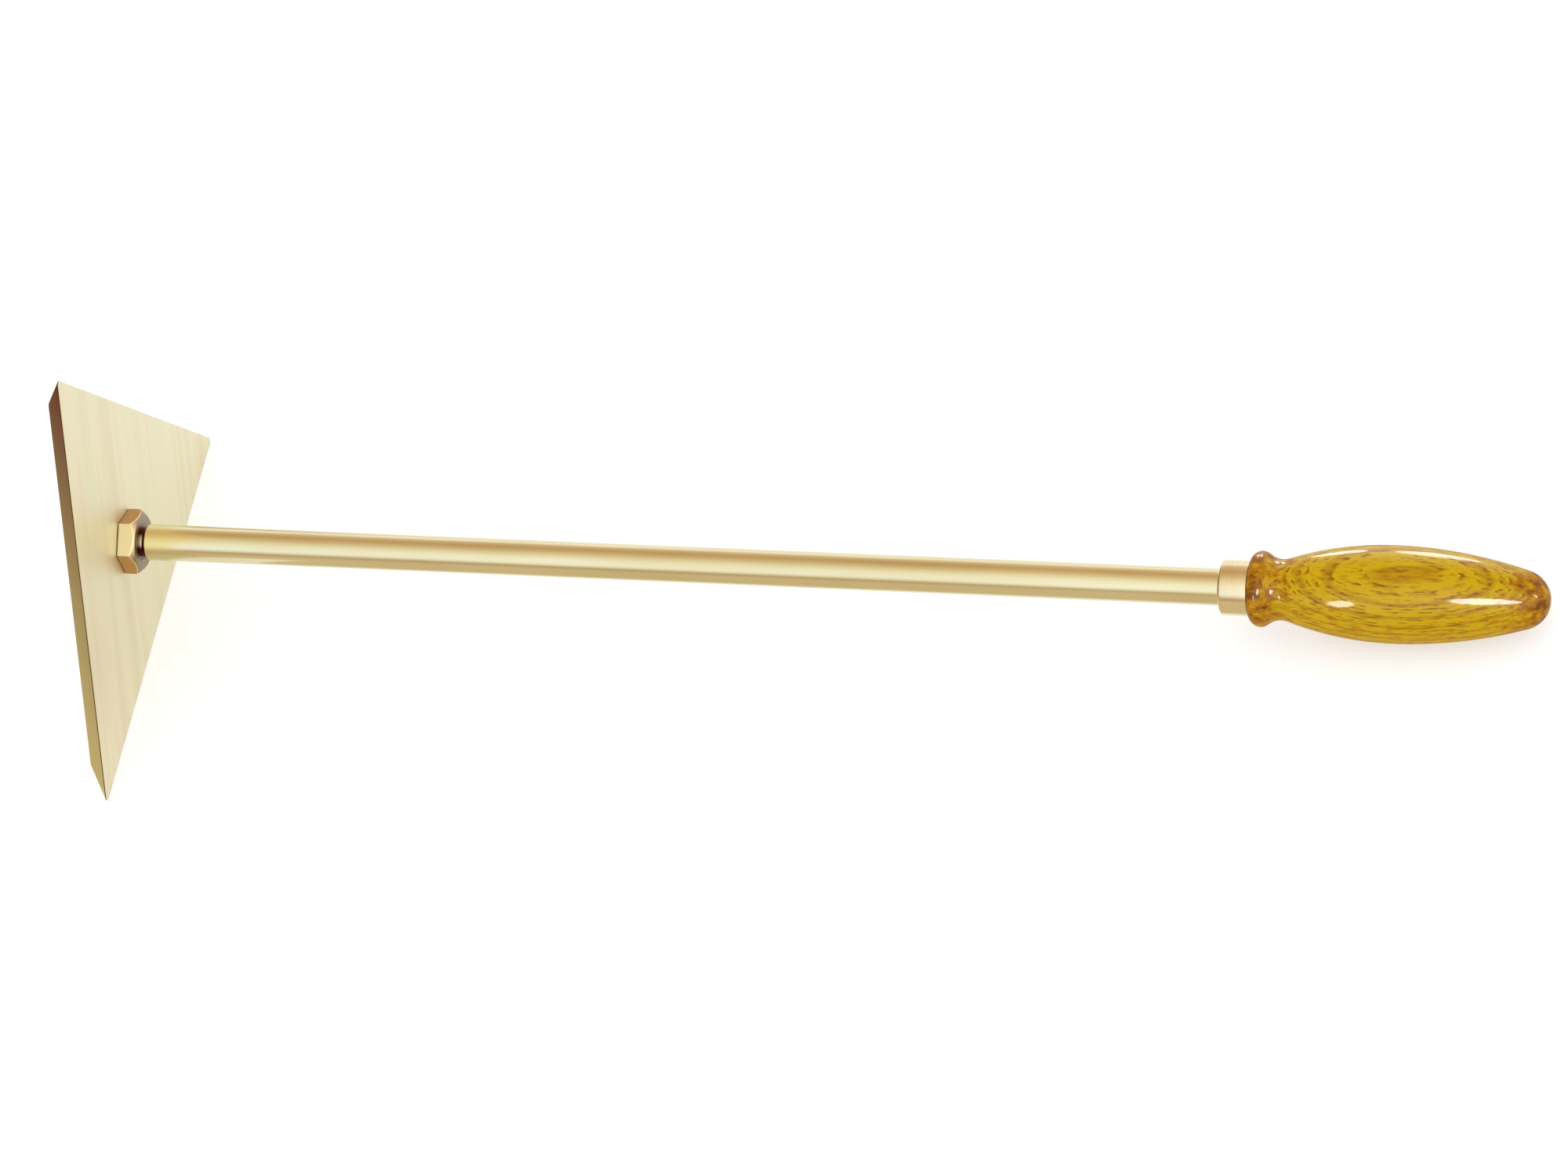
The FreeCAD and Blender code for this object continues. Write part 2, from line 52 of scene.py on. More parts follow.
# ---------------------------------------------------------------------------------------------------------
# Stand and camera. A copy stand with a long lens looks down on the tool from the handle side of the blade,
# turned so that the bar lies almost level across the picture.
# ---------------------------------------------------------------------------------------------------------
stand_azimuth, stand_elevation, stand_roll = math.radians(24.81), math.radians(51.98), math.radians(-17.56)
stand_distance, stand_aim = 2.8, Vector((0.2741, -0.0084, -0.0008))
film_width, lens_length, far_clip = 36.0, 169.4, 20.0

turn = (Matrix.Rotation(stand_azimuth, 4, "Z") @ Matrix.Rotation(math.pi / 2 - stand_elevation, 4, "X")
        @ Matrix.Rotation(stand_roll, 4, "Z"))
stand_head = stand_aim + turn.to_3x3() @ Vector((0, 0, stand_distance))
camera = bpy.data.objects.new("camera", bpy.data.cameras.new("camera"))
camera.data.sensor_width = film_width
camera.data.lens = lens_length
camera.data.clip_end = far_clip
camera.matrix_world = Matrix.Translation(stand_head) @ turn
bpy.context.scene.collection.objects.link(camera)
bpy.context.scene.camera = camera
bpy.context.scene.view_settings.view_transform = "Standard"


# ---------------------------------------------------------------------------------------------------------
# Table. A plain opal sheet, lit softly from below, that the tool lies on: it touches the blade's lower edge
# and the underside of the handle's belly, so it slopes a few degrees in the tool's own frame.
# ---------------------------------------------------------------------------------------------------------
def linear(code):
    """An sRGB colour such as "#a0b1c2" as linear red, green, blue and an alpha of 1."""
    channels = np.array([int(code[digit:digit + 2], 16) for digit in (1, 3, 5)]) / 255
    curved = ((channels + 0.055) / 1.055) ** 2.4
    return (*np.where(channels <= 0.04045, channels / 12.92, curved).tolist(), 1.0)


def node(tree, kind, inputs=None, stops=None, **settings):
    """Adds a node. inputs gives each socket a value, or another node's output to link; stops fill a ramp."""
    made = tree.nodes.new(kind)
    for name, value in settings.items():
        setattr(made, name, value)
    if stops:
        while len(made.color_ramp.elements) < len(stops):
            made.color_ramp.elements.new(0.5)
        for element, (position, colour) in zip(made.color_ramp.elements, stops):
            element.position = position
            element.color = colour
    for socket, value in (inputs or {}).items():
        if isinstance(value, bpy.types.NodeSocket):
            tree.links.new(value, made.inputs[socket])
        else:
            made.inputs[socket].default_value = value
    return made


def begin_finish(piece, name, evenly):
    """Gives a piece a new material, and returns its node tree and its shader.

    evenly holds the shader's values that are the same all over the surface.
    """
    material = bpy.data.materials.new(name)
    material.use_nodes = True
    shader = material.node_tree.nodes["Principled BSDF"]
    for socket, value in evenly.items():
        shader.inputs[socket].default_value = value
    piece.data.materials.append(material)
    return material.node_tree, shader


def sheet_over(name, plan, rise):
    """A thin sheet on the table's slope, raised, made of rectangles: (left, right, near, far) for each."""
    corners = [(x * MM, y * MM, blade_low.z + (rise - table_gap) * MM + slope * (x * MM - blade_high.x))
               for left, right, near, far in plan
               for x, y in ((left, near), (right, near), (right, far), (left, far))]
    mesh = bpy.data.meshes.new(name)
    mesh.from_pydata(corners, [], np.arange(len(corners)).reshape(-1, 4).tolist())
    laid = bpy.data.objects.new(name, mesh)
    bpy.context.scene.collection.objects.link(laid)
    return laid


blade_low, blade_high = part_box("blade")
handle_low, handle_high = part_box("handle")
# The slope touches the belly a little past its lowest point, which the sag makes room for.
belly_place, belly_sag = 54.0, 0.4
table_gap, table_left, table_right, table_near, table_far = 0.3, -110.0, 1200.0, -420.0, 900.0
paper_rise, paper_left, paper_right, paper_near, paper_notch = 0.1, -2.0, 45.0, -14.0, -90.0

belly_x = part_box("ferrule")[1].x + belly_place * MM
slope = (handle_low.z - belly_sag * MM - blade_low.z) / (belly_x - blade_high.x)

# Opal acrylic, matt and lit from below: an even white ground that shows only a faint, soft shadow.
table = sheet_over("table", [(table_left, table_right, table_near, table_far)], 0)
begin_finish(table, "opal_acrylic_sheet", {
    "Base Color": linear("#c4c4c4"), "Roughness": 0.9, "Specular IOR Level": 0.1,
    "Emission Color": linear("#ffffff"), "Emission Strength": 0.50})

# Glowing tan sheet, laid on the near side, behind the blade and in the notch between. Its tan is all
# emission, a painted reflection that only the tool's polished faces see: it gives the underside of the bar
# its tan band.
paper = sheet_over("glowing_tan_card", [(table_left, paper_left, table_near, table_far),
                                   (paper_left, paper_right, table_near, paper_notch),
                                   (paper_right, table_right, table_near, paper_near)], paper_rise)
paper.visible_camera = False
paper.visible_diffuse = False
paper.visible_shadow = False
begin_finish(paper, "glowing_tan_sheet", {
    "Base Color": linear("#000000"), "Roughness": 0.9, "Specular IOR Level": 0.0,
    "Emission Color": linear("#e5d0b1"), "Emission Strength": 1.0})


# ---------------------------------------------------------------------------------------------------------
# Light. A wide cool softbox hangs over the tool and down to the near side, the far side of the room is dim
# and warm, and small lamps give the varnish its highlights.
# ---------------------------------------------------------------------------------------------------------
world = bpy.data.worlds.new("studio")
bpy.context.scene.world = world
world.use_nodes = True
sky = world.node_tree
sky.nodes.clear()

# What is reflected: strips of light and dark that run along the bar, placed by their angle round it.
toward_light = node(sky, "ShaderNodeSeparateXYZ", {0: node(sky, "ShaderNodeTexCoord").outputs["Generated"]})
nearward = node(sky, "ShaderNodeMath", {0: toward_light.outputs["Y"], 1: -1.0}, operation="MULTIPLY")
round_room = node(sky, "ShaderNodeMath", {0: toward_light.outputs["Z"], 1: nearward.outputs[0]},
                  operation="ARCTAN2")
room_share = node(sky, "ShaderNodeMapRange", {"Value": round_room.outputs[0],
                                              "From Min": -math.pi, "From Max": math.pi})


def at(degrees):
    """Place on the room's ramp of a direction so many degrees up from the near horizon, over the top."""
    return (degrees + 180) / 360


# These are strengths of light, in linear red, green and blue, which may pass 1.
strips_of_light = node(sky, "ShaderNodeValToRGB", {"Fac": room_share.outputs[0]}, stops=[
    (at(-25), (0.80, 0.72, 0.58, 1)), (at(-4), (0.62, 0.46, 0.30, 1)), (at(5), (0.61, 0.45, 0.29, 1)),
    (at(16), (1.04, 0.99, 0.92, 1)), (at(25), (1.19, 1.23, 1.32, 1)), (at(55), (1.19, 1.16, 1.16, 1)),
    (at(76), (1.02, 0.94, 0.76, 1)), (at(100), (0.80, 0.60, 0.37, 1)), (at(122), (0.66, 0.42, 0.22, 1)),
    (at(146), (0.80, 0.58, 0.38, 1)), (at(162), (1.10, 0.98, 0.90, 1)), (at(172), (1.30, 1.28, 1.30, 1)),
    (at(180), (1.20, 1.15, 1.10, 1))])
# The handle's end of the room is brighter, and the blade's end is dim and brown.
right_wall = node(sky, "ShaderNodeMapRange", {"Value": toward_light.outputs["X"], "From Min": -0.2,
                                              "From Max": 0.5, "To Min": 1.0, "To Max": 1.6})
brighter = node(sky, "ShaderNodeMix", {0: 1.0, 6: strips_of_light.outputs[0], 7: right_wall.outputs[0]},
                data_type="RGBA", blend_type="MULTIPLY")
left_wall = node(sky, "ShaderNodeMapRange", {"Value": toward_light.outputs["X"], "From Min": -0.45,
                                             "From Max": -0.80})
room = node(sky, "ShaderNodeMix", {0: left_wall.outputs[0], 6: brighter.outputs[2],
                                   7: (0.40, 0.27, 0.19, 1)}, data_type="RGBA")
# What lights the tool and stands behind it: a plain white dome, a little brighter overhead.
dome = node(sky, "ShaderNodeMapRange", {"Value": toward_light.outputs["Z"], "From Min": -0.2,
                                        "From Max": 0.8, "To Min": 1.06, "To Max": 1.24})
ray = node(sky, "ShaderNodeLightPath")
seen = node(sky, "ShaderNodeMix", {0: ray.outputs["Is Glossy Ray"], 6: dome.outputs[0], 7: room.outputs[2]},
            data_type="RGBA")
glow = node(sky, "ShaderNodeBackground", {"Color": seen.outputs[2]})
node(sky, "ShaderNodeOutputWorld", {"Surface": glow.outputs[0]})

# Lamps round the handle, in metres and watts: two streaks along its far side, a short glint low on the
# front of the belly, a long one low on the back of it, and a spot on the butt. They light only the handle.
lamp_distance, lamp_height = 1.5, 0.45
lamp_lit = bpy.data.collections.new("lit_by_lamps")
handle_middle = Vector(((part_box("ferrule")[1].x + handle_high.x) / 2, 0, 0))
for number, (along, across, up, width, power) in enumerate([
        (-0.34, 0.94, 0.02, 0.27, 12.0), (-0.06, 0.99, 0.12, 0.32, 14.0), (-0.44, -0.82, 0.36, 0.24, 19.0),
        (0.28, -0.70, 0.68, 0.50, 56.0), (0.94, -0.01, 0.40, 0.16, 14.0)]):
    lamp = bpy.data.lights.new("lamp_%d" % number, "AREA")
    lamp.shape = "ELLIPSE"
    lamp.size = width
    lamp.size_y = lamp_height
    lamp.energy = power
    holder = bpy.data.objects.new("lamp_%d" % number, lamp)
    out = Vector((along, across, up)).normalized()
    holder.matrix_world = (Matrix.Translation(handle_middle + lamp_distance * out)
                           @ out.to_track_quat("Z", "Y").to_matrix().to_4x4())
    holder.visible_camera = False
    holder.visible_diffuse = False
    holder.light_linking.receiver_collection = lamp_lit
    bpy.context.scene.collection.objects.link(holder)


# ---------------------------------------------------------------------------------------------------------
# Blade. An equilateral plate of cast aluminium bronze, its three edges ground to a bevel on the outer face
# and the handle side linished in strokes that follow one edge. It is tapped at its middle for the bar.
# ---------------------------------------------------------------------------------------------------------
def rounded(corners, radii, steps=5):
    """Rows of points along a section whose corners are replaced by arcs, each tangent to both its sides.

    corners is an array whose first axis counts corners and last axis holds (along, out). An arc swings from
    one tangent point to the other about its centre, in equal steps. A radius of 0 keeps the corner.
    """
    corners = np.asarray(corners, float)
    rows = []
    for number, radius in enumerate(radii):
        here = corners[number]
        if radius == 0:
            rows.append(here[None])
            continue
        back = corners[number - 1] - here
        ahead = corners[(number + 1) % len(corners)] - here
        back = back / np.linalg.norm(back, axis=-1, keepdims=True)
        ahead = ahead / np.linalg.norm(ahead, axis=-1, keepdims=True)
        half = np.arccos(np.clip((back * ahead).sum(-1, keepdims=True), -1, 1)) / 2
        centre = here + (back + ahead) / (2 * np.cos(half)) * radius / np.sin(half)
        first = here + back * radius / np.tan(half) - centre
        last = here + ahead * radius / np.tan(half) - centre
        swing = np.pi - 2 * half
        share = np.linspace(0, 1, steps).reshape((steps,) + (1,) * here.ndim)
        arc = np.sin((1 - share) * swing) * first + np.sin(share * swing) * last
        rows.append(centre + arc / np.sin(swing))
    return np.concatenate(rows)


def heading(angle):
    """Unit vector (across, up) at an angle round the bar: the cosine across and the sine up."""
    return np.stack([np.cos(angle), np.sin(angle)], -1)


def polygon_path(sides, along_side, round_corner, first_normal):
    """Once round a regular polygon, as two sets of unit vectors from which any offset of it is made.

    The first set runs straight from each corner's direction to the next, and stands still at a corner. The
    second points square out of each side, and swings from one side's normal to the next at a corner.
    """
    corner = first_normal - math.pi / sides + 2 * math.pi * np.arange(sides)[:, None] / sides
    ahead = corner + 2 * math.pi / sides
    share = (1 - np.cos(np.linspace(0, math.pi, along_side + 2)))[None, :, None] / 2
    straight = heading(corner) * (1 - share) + heading(ahead) * share
    square = heading(corner + math.pi / sides) + 0 * share
    swing = np.linspace(-math.pi / sides, math.pi / sides, round_corner + 2)[None, 1:-1]
    arcs = heading(corner) + 0 * swing[..., None]
    arc_normals = heading(corner + swing)
    return (np.concatenate([arcs, straight], 1).reshape(-1, 2),
            np.concatenate([arc_normals, square], 1).reshape(-1, 2))


def polygon_ring(path, sides, inradius, corner_round):
    """The polygon of an inradius with rounded corners: a smaller polygon grown by the corners' radius."""
    spread, normal = path
    return spread * (inradius - corner_round) / math.cos(math.pi / sides) + normal * corner_round


def rows_at(along, plan):
    """Rows of (across, up) points, each row set at its own distance along the bar."""
    return np.dstack([np.broadcast_to(np.reshape(along, (-1, 1)), plan.shape[:2]), plan])


def thread_height(along, angle, pitch, depth):
    """Height of a V thread above its root: a triangle wave of the distance along less the share of a turn.

    The wave is made a little steeper than it need be, and cut flat at top and bottom as a rolled thread is.
    """
    steepness, root_flat = 1.375, 0.19
    turn_share = (along / pitch - angle / (2 * math.pi)) % 1
    wave = 1 - np.abs(2 * turn_share - 1)
    return depth * np.clip(steepness * wave - root_flat, 0, 1)


def skin(name, grid, loop=False, poles=(), crease=math.radians(35)):
    """Closed surface through a grid of points in millimetres. Columns go round and meet.

    Rows meet too if loop is true. A pole is the point on which the first row, and then the last row, closes.
    It is shaded smooth but for the edges that turn by more than the crease.
    """
    rows, columns = grid.shape[:2]
    index = np.arange(rows * columns).reshape(rows, columns)
    if loop:
        index = np.concatenate([index, index[:1]])
    beside = np.roll(index, -1, axis=1)
    faces = np.stack([index[:-1], beside[:-1], beside[1:], index[1:]], -1).reshape(-1, 4).tolist()
    points = grid.reshape(-1, 3)
    for number, pole in enumerate(poles):
        rim, rim_beside = (index[0], beside[0]) if number == 0 else (beside[-1], index[-1])
        tip = np.full(columns, len(points))
        faces += np.stack([rim_beside, rim, tip], -1).tolist()
        points = np.vstack([points, pole])
    mesh = bpy.data.meshes.new(name)
    mesh.from_pydata((points * MM).tolist(), [], faces)
    mesh.update()
    mesh.shade_smooth()
    mesh.set_sharp_from_angle(angle=crease)
    piece = bpy.data.objects.new(name, mesh)
    bpy.context.scene.collection.objects.link(piece)
    return piece


blade_thick, blade_inradius = blade_high.x / MM, -blade_low.z / MM
bevel_inset, bevel_land, blade_corner = 6.5, 0.4, 1.5
bevel_round, land_round, edge_wear = 0.25, 0.08, 0.12
rim_back, rim_front, face_rows = 12.0, 1.0, 20
thread_radius, thread_pitch, thread_depth, thread_room, thread_rows = 7.0, 2.0, 1.1, 0.05, 70
mouth_chamfer, front_mouth, front_mouth_depth = 0.8, 0.15, 0.2

path = polygon_path(3, along_side=72, round_corner=9, first_normal=-math.pi / 2)
angle = np.arctan2(path[0][:, 1], path[0][:, 0])
around = heading(angle)
# Section of the rim, as (along the bar, inset from the outline), from the outer face to the handle side.
rim = rounded([(0, rim_back), (0, bevel_inset), (blade_thick - bevel_land, 0), (blade_thick, 0),
               (blade_thick, rim_front)], [0, bevel_round, land_round, edge_wear, 0])
rim_rows = np.stack([polygon_ring(path, 3, blade_inradius - inset, blade_corner) for _, inset in rim])
share = np.linspace(0, 1, face_rows + 2)[1:-1, None, None]
mouth_ring = (around * (thread_radius + mouth_chamfer))[None]
front_ring = (around * (thread_radius + front_mouth))[None]
bore_along = np.linspace(blade_thick - front_mouth_depth, mouth_chamfer, thread_rows)[:, None]
bore_root = thread_radius + thread_room - thread_depth
bore = bore_root + thread_height(bore_along, angle[None], thread_pitch, thread_depth)
blade_grid = np.concatenate([
    rows_at(0, mouth_ring),
    rows_at(0, mouth_ring * (1 - share) + rim_rows[0] * share),
    rows_at(rim[:, 0], rim_rows),
    rows_at(blade_thick, rim_rows[-1] * (1 - share) + front_ring * share),
    rows_at(blade_thick, front_ring),
    rows_at(bore_along, around[None] * bore[..., None]),
])
blade = skin("blade_plate", blade_grid, loop=True)

# Aluminium bronze, linished: pale gold with a satin sheen that changes from strip to strip of the belt's
# strokes. Strips are 16 mm wide. The scratches are 0.1 mm apart, and are drawn 1 mm apart so that they show.
tree, metal = begin_finish(blade, "linished_aluminium_bronze", {"Metallic": 1.0})
place = node(tree, "ShaderNodeTexCoord").outputs["Object"]
# The strokes run along one edge of the plate, 30 degrees from upright.
strokes = node(tree, "ShaderNodeMapping", {"Vector": place, "Rotation": (math.radians(30), 0, 0)})
broad = node(tree, "ShaderNodeMapping", {"Vector": strokes.outputs[0],
                                         "Scale": (1 / 0.2, 1 / 0.016, 1 / 0.35)})
strips = node(tree, "ShaderNodeTexNoise", {"Vector": broad.outputs[0], "Scale": 1.0, "Detail": 2.0})
fine = node(tree, "ShaderNodeMapping", {"Vector": strokes.outputs[0],
                                        "Scale": (1 / 0.02, 1 / 0.001, 1 / 0.06)})
scratches = node(tree, "ShaderNodeTexNoise", {"Vector": fine.outputs[0], "Scale": 1.0, "Detail": 2.0})
tint = node(tree, "ShaderNodeValToRGB", {"Fac": strips.outputs["Fac"]}, stops=[
    (0.32, linear("#dbd1b0")), (0.46, linear("#e3dbbe")), (0.56, linear("#dfdbbc")),
    (0.70, linear("#ddd0b2"))])
# Told apart by which way they face: the outer face, the bevels, and the land along the edge, which is
# painted dark brown.
facing = node(tree, "ShaderNodeSeparateXYZ", {0: node(tree, "ShaderNodeNewGeometry").outputs["Normal"]})
outward = node(tree, "ShaderNodeMapRange", {"Value": facing.outputs["X"], "From Min": -1.0})
ground = node(tree, "ShaderNodeValToRGB", {"Fac": outward.outputs[0]}, stops=[
    (0.03, linear("#ffffff")), (0.08, linear("#f6f6d2")), (0.22, linear("#f6f6d2")),
    (0.30, linear("#7a4a30")), (0.75, linear("#7a4a30")), (0.97, linear("#ffffff"))])
# Painted reflection: the bevels are tinted pinkish brown towards the upper corner, for the brown they
# reflect there.
off_land = node(tree, "ShaderNodeMapRange", {"Value": facing.outputs["X"], "From Min": -0.5,
                                             "From Max": -0.6})
off_face = node(tree, "ShaderNodeMapRange", {"Value": facing.outputs["X"], "From Min": -0.95,
                                             "From Max": -0.85})
on_bevel = node(tree, "ShaderNodeMath", {0: off_land.outputs[0], 1: off_face.outputs[0]},
                operation="MULTIPLY")
height = node(tree, "ShaderNodeSeparateXYZ", {0: place})
upper = node(tree, "ShaderNodeMapRange", {"Value": height.outputs["Z"], "From Min": 0.02, "From Max": 0.10})
bevel_reflection_mask = node(tree, "ShaderNodeMath", {0: on_bevel.outputs[0], 1: upper.outputs[0]}, operation="MULTIPLY")
bevel_painted_reflection = node(tree, "ShaderNodeMix", {0: bevel_reflection_mask.outputs[0], 6: ground.outputs[0], 7: linear("#aa6e69")},
             data_type="RGBA")
finish = node(tree, "ShaderNodeMix", {0: 1.0, 6: tint.outputs[0], 7: bevel_painted_reflection.outputs[2]},
              data_type="RGBA", blend_type="MULTIPLY")
gloss = node(tree, "ShaderNodeMapRange", {"Value": scratches.outputs["Fac"], "To Min": 0.44,
                                          "To Max": 0.56})
ridges = node(tree, "ShaderNodeBump", {"Height": scratches.outputs["Fac"], "Strength": 0.05,
                                       "Distance": 0.0002})
tree.links.new(finish.outputs[2], metal.inputs["Base Color"])
tree.links.new(gloss.outputs[0], metal.inputs["Roughness"])
tree.links.new(ridges.outputs[0], metal.inputs["Normal"])

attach(blade, "root")
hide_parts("blade")


# ---------------------------------------------------------------------------------------------------------
# Lock nut. A thin hexagon nut of the same bronze, turned and chamfered on the side towards the handle. It is
# run up the bar's thread and tightened flat against the blade.
# ---------------------------------------------------------------------------------------------------------
def carried_round(section, angle):
    """Carries a section round the bar: (along, out) at an angle is (along, out by cosine, out by sine)."""
    return np.dstack([section[..., 0], section[..., 1] * np.cos(angle), section[..., 1] * np.sin(angle)])


nut_low, nut_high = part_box("lock_nut")
nut_start, nut_end = nut_low.x / MM, nut_high.x / MM
nut_flats, nut_ring, nut_slope, nut_clocking = 22.0, 20.9, math.radians(42), math.radians(3.5)
nut_corner, nut_edge, nut_back, nut_mouth = 0.35, 0.30, 0.4, 0.4
nut_wear, mouth_wear, nut_thread_rows = 0.10, 0.05, 60

path = polygon_path(6, along_side=24, round_corner=5, first_normal=nut_clocking)
outline = polygon_ring(path, 6, nut_flats / 2, nut_corner)
reach = np.linalg.norm(outline, axis=-1)
angle = np.arctan2(outline[:, 1], outline[:, 0])
# The chamfer is a cone, so its edge runs nearer the blade the further out the nut reaches.
chamfer_end = nut_end - (reach - nut_ring / 2) * math.tan(nut_slope)
corners = [(nut_start, thread_radius + nut_mouth), (nut_start, reach - nut_back),
           (nut_start + nut_back, reach), (chamfer_end, reach), (nut_end, nut_ring / 2),
           (nut_end, thread_radius + nut_mouth)]
section = rounded([np.stack(np.broadcast_arrays(along, out, angle)[:2], -1) for along, out in corners],
                  [0, nut_wear, nut_wear, nut_edge, nut_wear, mouth_wear], steps=4)
bore_along = np.linspace(nut_end - nut_mouth, nut_start + nut_mouth, nut_thread_rows)[:, None]
bore = bore_root + thread_height(bore_along, angle[None], thread_pitch, thread_depth)
section = np.concatenate([section, rows_at(bore_along, bore[..., None])])
nut = skin("hexagon_lock_nut", carried_round(section, angle), loop=True)

# Aluminium bronze, turned and tarnished: glossy copper-brown flats, pale edges that are a painted highlight,
# and a dull end whose grey-brown is a painted reflection. Turning marks are 0.2 mm apart, and are drawn 0.4
# mm apart so as to show.
tree, metal = begin_finish(nut, "turned_aluminium_bronze", {"Metallic": 1.0})
place = node(tree, "ShaderNodeTexCoord").outputs["Object"]
lathe_lie = node(tree, "ShaderNodeMapping", {"Vector": place, "Scale": (1 / 0.0004, 1 / 0.012, 1 / 0.012)})
marks = node(tree, "ShaderNodeTexNoise", {"Vector": lathe_lie.outputs[0], "Scale": 1.0, "Detail": 2.0})
cloud = node(tree, "ShaderNodeTexNoise", {"Vector": place, "Scale": 1 / 0.006, "Detail": 3.0})
tint = node(tree, "ShaderNodeValToRGB", {"Fac": cloud.outputs["Fac"]}, stops=[
    (0.35, linear("#a67e4e")), (0.65, linear("#b58d5c"))])
# Painted reflection: the flat on the near side is tinted a little lighter than the rest.
square = node(tree, "ShaderNodeNewGeometry").outputs["Normal"]
facing = node(tree, "ShaderNodeSeparateXYZ", {0: square})
near = node(tree, "ShaderNodeMapRange", {"Value": facing.outputs["Y"], "From Min": -0.80,
                                         "From Max": -0.95})
sides = node(tree, "ShaderNodeMix", {0: near.outputs[0], 6: tint.outputs[0], 7: linear("#c89c64")},
             data_type="RGBA")
# Painted highlight: the flat that lies uppermost is tinted pale, and so is the chamfer above it.
upper_angle = nut_clocking + math.radians(120)
upper_way = (0, math.cos(upper_angle), math.sin(upper_angle))
upward = node(tree, "ShaderNodeVectorMath", {0: square, 1: upper_way}, operation="DOT_PRODUCT")
upper_flat_highlight = node(tree, "ShaderNodeMapRange", {"Value": upward.outputs["Value"], "From Min": 0.75,
                                           "From Max": 0.95})
flats = node(tree, "ShaderNodeMix", {0: upper_flat_highlight.outputs[0], 6: sides.outputs[2], 7: linear("#ddd4b6")},
             data_type="RGBA")
# Painted highlight: the rounded edges between the flats and the chamfer are tinted pale.
edge_highlight = node(tree, "ShaderNodeMapRange", {"Value": facing.outputs["X"], "From Min": 0.05, "From Max": 0.25})
edges = node(tree, "ShaderNodeMix", {0: edge_highlight.outputs[0], 6: flats.outputs[2], 7: linear("#e8d8ac")},
             data_type="RGBA")
# Painted reflection: the chamfer and the end are tinted a dull grey-brown, and pale as a painted highlight
# where they face upward.
upper_chamfer_highlight = node(tree, "ShaderNodeMapRange", {"Value": upward.outputs["Value"], "From Min": 0.50,
                                            "From Max": 0.66})
end_reflection_tint = node(tree, "ShaderNodeMix", {0: upper_chamfer_highlight.outputs[0], 6: linear("#96876e"), 7: linear("#e8d8ac")},
                data_type="RGBA")
faced = node(tree, "ShaderNodeMapRange", {"Value": facing.outputs["X"], "From Min": 0.58, "From Max": 0.72})
finish = node(tree, "ShaderNodeMix", {0: faced.outputs[0], 6: edges.outputs[2], 7: end_reflection_tint.outputs[2]},
              data_type="RGBA")
gloss = node(tree, "ShaderNodeMapRange", {"Value": marks.outputs["Fac"], "To Min": 0.14, "To Max": 0.28})
worn = node(tree, "ShaderNodeMix", {0: faced.outputs[0], 2: gloss.outputs[0], 3: 0.45})
ridges = node(tree, "ShaderNodeBump", {"Height": marks.outputs["Fac"], "Strength": 0.06,
                                       "Distance": 0.0002})
tree.links.new(finish.outputs[2], metal.inputs["Base Color"])
tree.links.new(worn.outputs[0], metal.inputs["Roughness"])
tree.links.new(ridges.outputs[0], metal.inputs["Normal"])

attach(nut, "root")
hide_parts("lock_nut")


# ---------------------------------------------------------------------------------------------------------
# Bar. Round bronze bar, drawn and polished lengthwise. Its front end is threaded into the blade and the nut
# and relieved by a groove behind them; its rear end is turned down to a tang that is glued into the handle.
# ---------------------------------------------------------------------------------------------------------
def all_round(profile):
    """A turned profile's points (along, out), the same at every angle round the bar."""
    return np.asarray(profile, float)[:, None] * np.ones((1, rounds, 1))


rod_low, rod_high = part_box("rod")
ferrule_low, ferrule_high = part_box("ferrule")
rod_start, tang_end = rod_low.x / MM, rod_high.x / MM
ferrule_start, handle_start = ferrule_low.x / MM, ferrule_high.x / MM
bar_radius, bar_chamfer, bar_thread_rows, rounds = 7.0, 1.4, 104, 144
groove_radius, groove_width, groove_run, groove_lip = 5.7, 1.2, 0.05, 0.01
tang_radius, tang_length, tang_chamfer = 4.5, 80.0, 1.0

groove_start, groove_end = nut_end - nut_mouth, nut_end + groove_width
shoulder = tang_end - tang_length
angle = np.linspace(0, 2 * math.pi, rounds, endpoint=False)
thread_along = np.linspace(rod_start + mouth_chamfer, groove_start, bar_thread_rows)[:, None]
thread_root = thread_radius - thread_depth
crest = thread_root + thread_height(thread_along, angle[None], thread_pitch, thread_depth)
# Behind the thread: groove, bar, shoulder and tang, with the radius that breaks each corner.
body = rounded([
    (groove_start, groove_radius + groove_lip), (groove_start + groove_run, groove_radius),
    (groove_end, groove_radius), (groove_end, bar_radius - bar_chamfer),
    (groove_end + bar_chamfer, bar_radius), (shoulder - bar_chamfer, bar_radius),
    (shoulder, bar_radius - bar_chamfer), (shoulder, tang_radius), (tang_end - tang_chamfer, tang_radius),
    (tang_end, tang_radius - tang_chamfer)],
    [0, 0, 0.2, 0.05, 0.5, 0.5, 0.2, 0.3, 0.3, 0.2])
section = np.concatenate([
    all_round([(rod_start, thread_radius - mouth_chamfer - thread_depth / 2)]),
    rows_at(thread_along, crest[..., None]),
    all_round(body)])
rod = skin("round_bar", carried_round(section, angle), poles=((rod_start, 0, 0), (tang_end, 0, 0)))

